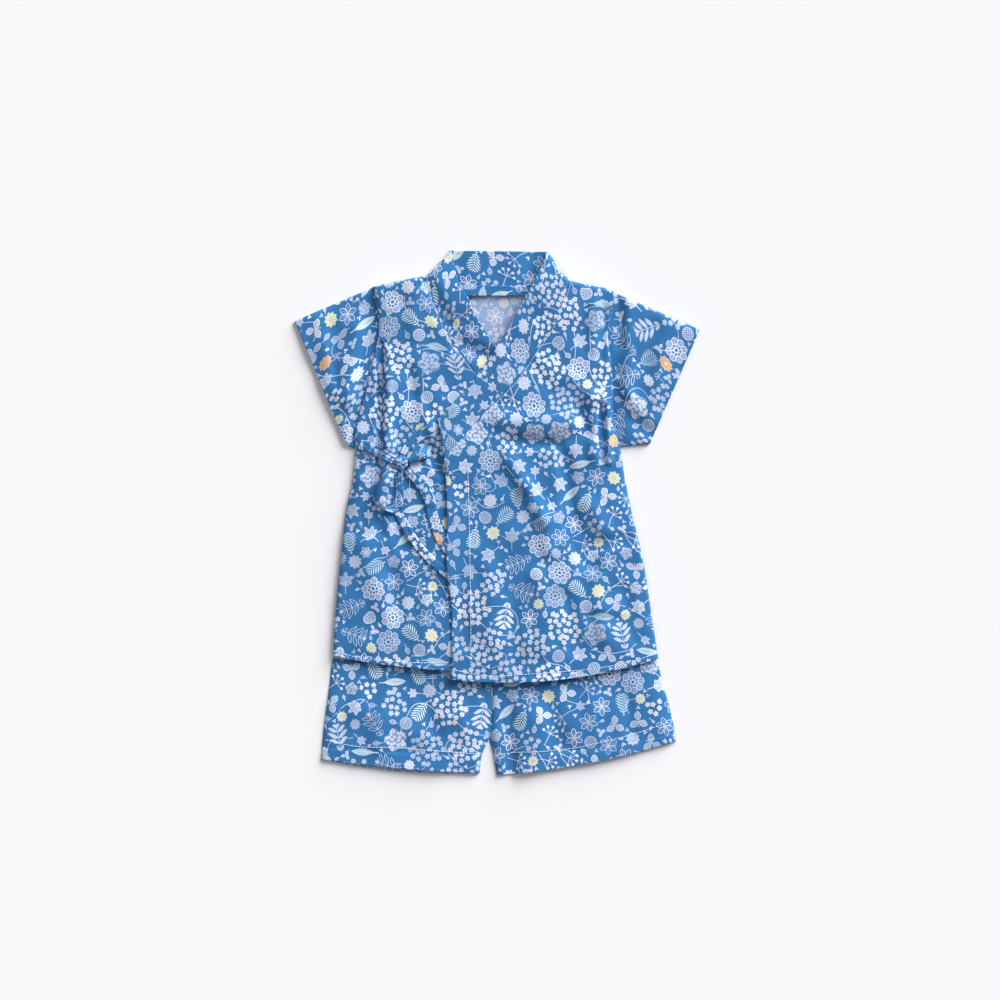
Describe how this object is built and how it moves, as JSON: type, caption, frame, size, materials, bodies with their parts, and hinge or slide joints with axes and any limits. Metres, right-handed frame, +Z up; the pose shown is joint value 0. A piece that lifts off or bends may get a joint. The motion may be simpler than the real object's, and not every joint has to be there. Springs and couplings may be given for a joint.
{
  "type": "pyjama set, wrap top and shorts",
  "caption": "Short-sleeved wrap pyjama top with a neckband, tied in a bow at its side, laid flat over a pair of shorts.",
  "frame": {"origin": "on the surface that the set lies on, under the middle of its outline", "axes": "+Z up out of the surface, +Y from the hems of the shorts to the neck, +X to the right of an onlooker"},
  "size_m": [0.3646, 0.4715, 0.0123],
  "materials": {
    "printed_cotton": "matt plain-woven cotton, mid blue with a small white botanical print",
    "cotton_reverse": "matt, the pale wrong side of the print",
    "sewing_thread": "pale blue-white spun thread"
  },
  "bodies": {
    "root": {"top_back": "cotton_reverse", "top_front_under": "printed_cotton", "top_front_over": "printed_cotton", "sleeve_left": "printed_cotton", "sleeve_right": "printed_cotton", "neckband_under": "printed_cotton", "neckband_over": "printed_cotton", "neckband_back": "printed_cotton", "neck_tape": "printed_cotton", "tie_from_neckband": "printed_cotton", "tie_from_side": "printed_cotton", "bow_loop_upper": "printed_cotton", "bow_loop_lower": "printed_cotton", "tail_of_neckband_tie": "printed_cotton", "tail_of_side_tie": "printed_cotton", "bow_knot": "printed_cotton", "shorts_back_left": "printed_cotton", "shorts_back_right": "printed_cotton", "shorts_front_left": "printed_cotton", "shorts_front_right": "printed_cotton", "shorts_waistband": "printed_cotton"}
  },
  "joints": []
}
